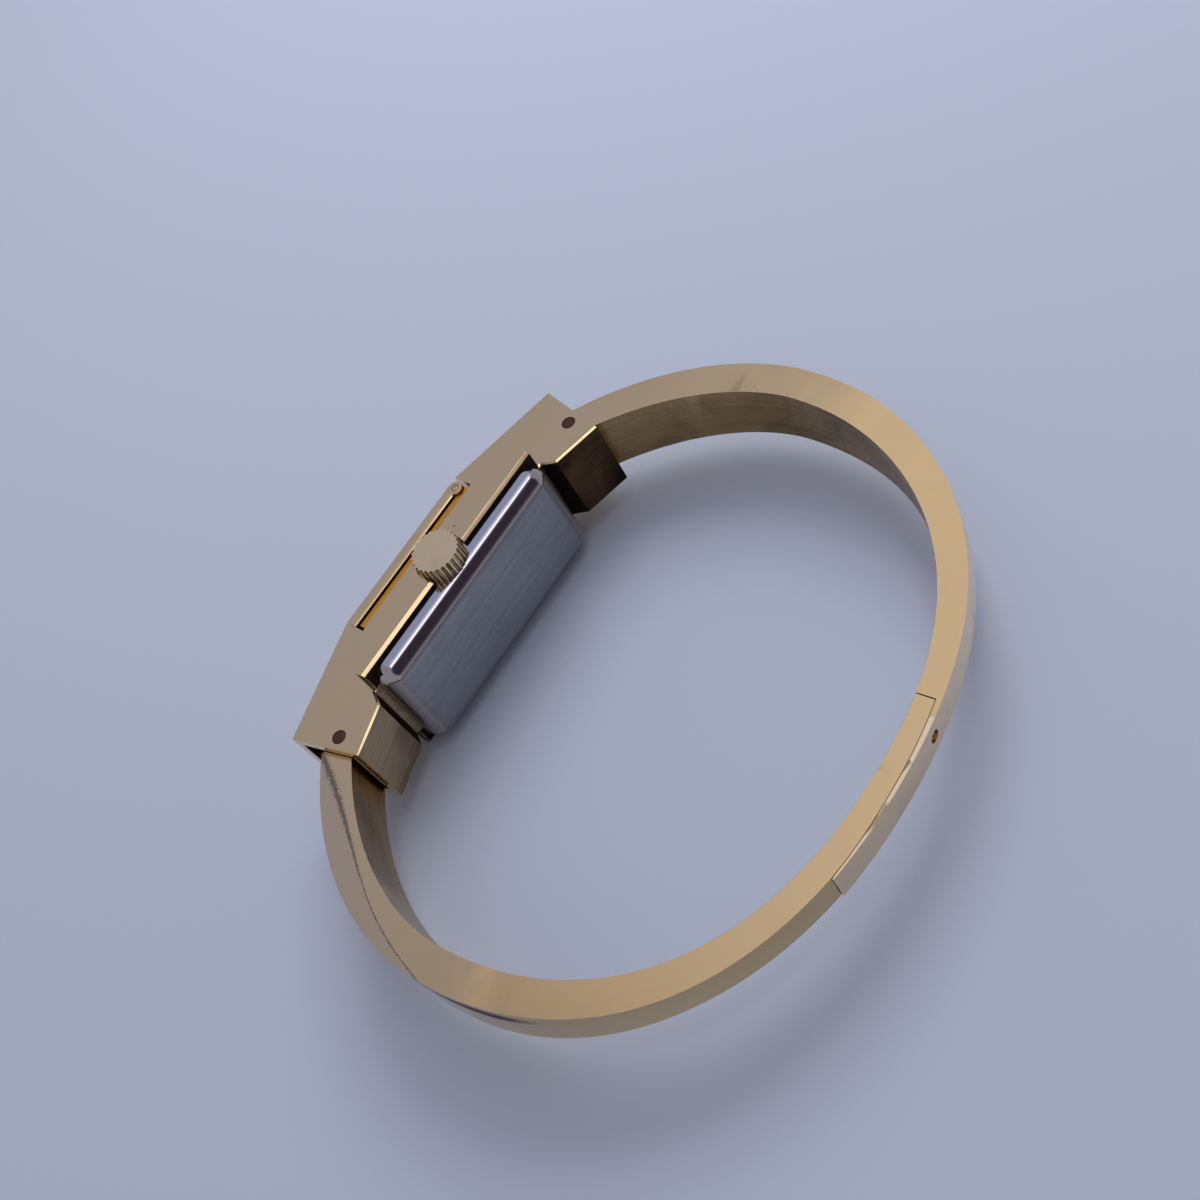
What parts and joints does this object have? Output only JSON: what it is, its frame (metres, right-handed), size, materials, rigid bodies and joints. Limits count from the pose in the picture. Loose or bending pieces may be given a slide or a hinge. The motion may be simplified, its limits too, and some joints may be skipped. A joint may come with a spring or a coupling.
{
  "type": "bangle cover watch",
  "caption": "Small oblong watch with a hinged cover over its dial, lug boxes and a hinged metal bangle that closes with a lapped snap clasp, lying on its side with the crown up.",
  "frame": {"origin": "middle of the object's box, on the plane that its lower side plate rests on", "axes": "+X along the head towards the cover's hinge, +Y from the clasp to the cover's outer face, +Z along the wrist's axis towards the crown"},
  "size_m": [0.0614, 0.0524, 0.0139],
  "materials": {
    "polished_gold": "polished gold plate with fine wear",
    "steel_back": "polished rounded edges, brushed lengthwise on the flat",
    "hinge_pins": "dark aged",
    "crystal_clear": "clear, low arched",
    "dial_cream": "satin cream",
    "gilt_trim": "polished gilt",
    "nickel_plate": "striped nickel plate",
    "wheel_brass": "gilt brass",
    "polished_steel": "polished steel"
  },
  "bodies": {
    "case": {"case_middle": "polished_gold", "case_back": "steel_back", "lug_right": "polished_gold", "lug_left": "polished_gold", "lug_pin_right": "hinge_pins", "lug_pin_left": "hinge_pins", "cover_hinge_pin": "polished_gold", "crystal": "crystal_clear", "dial": "dial_cream", "hour_markers": "gilt_trim", "movement_ring": "nickel_plate", "main_plate": "nickel_plate", "barrel_bridge": "nickel_plate", "train_bridge": "nickel_plate", "balance_cock": "nickel_plate", "bridge_screws": "polished_steel", "stem_tube": "polished_gold"},
    "bangle_right": {"bangle_right": "polished_gold"},
    "bangle_left": {"bangle_left": "polished_gold", "clasp_stud": "polished_gold"},
    "cover": {"cover_lid": "polished_gold", "cover_catch": "polished_steel"},
    "stem_slide": {"setting_lever": "polished_steel"},
    "crown": {"crown": "polished_gold", "winding_stem": "polished_steel"},
    "winding_pinion": {"winding_pinion": "polished_steel"},
    "crown_wheel": {"crown_wheel": "polished_steel"},
    "ratchet": {"ratchet_wheel": "polished_steel", "barrel_arbor": "polished_steel"},
    "barrel": {"mainspring_barrel": "wheel_brass", "mainspring": "polished_steel"},
    "centre_wheel": {"centre_wheel": "wheel_brass"},
    "third_wheel": {"third_wheel": "wheel_brass"},
    "fourth_wheel": {"fourth_wheel": "wheel_brass"},
    "escape_wheel": {"escape_wheel": "polished_steel"},
    "pallet_fork": {"pallet_fork": "polished_steel"},
    "balance": {"balance_wheel": "wheel_brass", "hairspring": "polished_steel"},
    "minute_hand": {"minute_hand": "gilt_trim", "cannon_pinion": "polished_steel"},
    "minute_wheel": {"minute_wheel": "wheel_brass"},
    "hour_hand": {"hour_hand": "gilt_trim", "hour_wheel": "wheel_brass"}
  },
  "joints": [
    {"name": "bangle_right_hinge", "type": "hinge", "parent": "case", "child": "bangle_right", "pos_m": [0.01769, 0.01882, 0.0063], "axis": [0, 0, 1], "range_deg": [0, 35]},
    {"name": "bangle_left_hinge", "type": "hinge", "parent": "case", "child": "bangle_left", "pos_m": [-0.01769, 0.01882, 0.0063], "axis": [0, 0, -1], "range_deg": [0, 35]},
    {"name": "cover_hinge", "type": "hinge", "parent": "case", "child": "cover", "pos_m": [0.00753, 0.02543, 0.0063], "axis": [0, 0, -1], "range_deg": [0, 94]},
    {"name": "crown_pull", "type": "slide", "parent": "case", "child": "stem_slide", "axis": [0, 0, 1], "range_m": [0, 0.0008]},
    {"name": "crown_turn", "type": "hinge", "parent": "stem_slide", "child": "crown", "pos_m": [0, 0.01945, 0.0119], "axis": [0, 0, 1], "continuous": true},
    {"name": "winding_pinion_turn", "type": "hinge", "parent": "case", "child": "winding_pinion", "pos_m": [0, 0.01945, 0.0119], "axis": [0, 0, 1], "continuous": true},
    {"name": "crown_wheel_turn", "type": "hinge", "parent": "case", "child": "crown_wheel", "pos_m": [0.00227, 0.01945, 0.00845], "axis": [0, 1, 0], "continuous": true},
    {"name": "ratchet_turn", "type": "hinge", "parent": "case", "child": "ratchet", "pos_m": [0.00329, 0.01808, 0.0051], "axis": [0, 1, 0], "continuous": true},
    {"name": "minute_hand_turn", "type": "hinge", "parent": "case", "child": "minute_hand", "pos_m": [0, 0.02141, 0.0063], "axis": [0, -1, 0], "continuous": true},
    {"name": "minute_wheel_turn", "type": "hinge", "parent": "case", "child": "minute_wheel", "pos_m": [-0.00048, 0.01945, 0.00498], "axis": [0, -1, 0], "continuous": true},
    {"name": "hour_hand_turn", "type": "hinge", "parent": "case", "child": "hour_hand", "pos_m": [0, 0.02141, 0.0063], "axis": [0, -1, 0], "continuous": true},
    {"name": "fourth_turn", "type": "hinge", "parent": "case", "child": "fourth_wheel", "pos_m": [-0.00287, 0.01945, 0.00631], "axis": [0, -1, 0], "continuous": true},
    {"name": "escape_turn", "type": "hinge", "parent": "case", "child": "escape_wheel", "pos_m": [-0.00363, 0.01945, 0.00468], "axis": [0, -1, 0], "continuous": true},
    {"name": "third_turn", "type": "hinge", "parent": "case", "child": "third_wheel", "pos_m": [-0.00197, 0.01945, 0.00814], "axis": [0, -1, 0], "continuous": true},
    {"name": "centre_turn", "type": "hinge", "parent": "case", "child": "centre_wheel", "pos_m": [0, 0.01945, 0.0063], "axis": [0, -1, 0], "continuous": true},
    {"name": "barrel_turn", "type": "hinge", "parent": "case", "child": "barrel", "pos_m": [0.00329, 0.01808, 0.0051], "axis": [0, -1, 0], "continuous": true},
    {"name": "balance_swing", "type": "hinge", "parent": "case", "child": "balance", "pos_m": [-0.0051, 0.01945, 0.0078], "axis": [0, 1, 0], "range_deg": [-180, 180], "stiffness_Nm_per_rad": 0.000000006},
    {"name": "pallet_rock", "type": "hinge", "parent": "case", "child": "pallet_fork", "pos_m": [-0.0044, 0.01945, 0.00512], "axis": [0, 1, 0], "range_deg": [-5, 5]}
  ],
  "couplings": [
    {"joint": "bangle_left_hinge", "follows": "bangle_right_hinge", "ratio": 1},
    {"joint": "winding_pinion_turn", "follows": "crown_turn", "ratio": 1},
    {"joint": "crown_wheel_turn", "follows": "crown_turn", "ratio": 0.46667},
    {"joint": "ratchet_turn", "follows": "crown_turn", "ratio": -0.35},
    {"joint": "minute_wheel_turn", "follows": "minute_hand_turn", "ratio": -0.33333},
    {"joint": "hour_hand_turn", "follows": "minute_hand_turn", "ratio": 0.083333},
    {"joint": "escape_turn", "follows": "fourth_turn", "ratio": -7},
    {"joint": "third_turn", "follows": "fourth_turn", "ratio": -0.13333},
    {"joint": "centre_turn", "follows": "fourth_turn", "ratio": 0.016667},
    {"joint": "barrel_turn", "follows": "fourth_turn", "ratio": -0.0027778},
    {"joint": "pallet_rock", "follows": "balance_swing", "ratio": 0.027778}
  ]
}
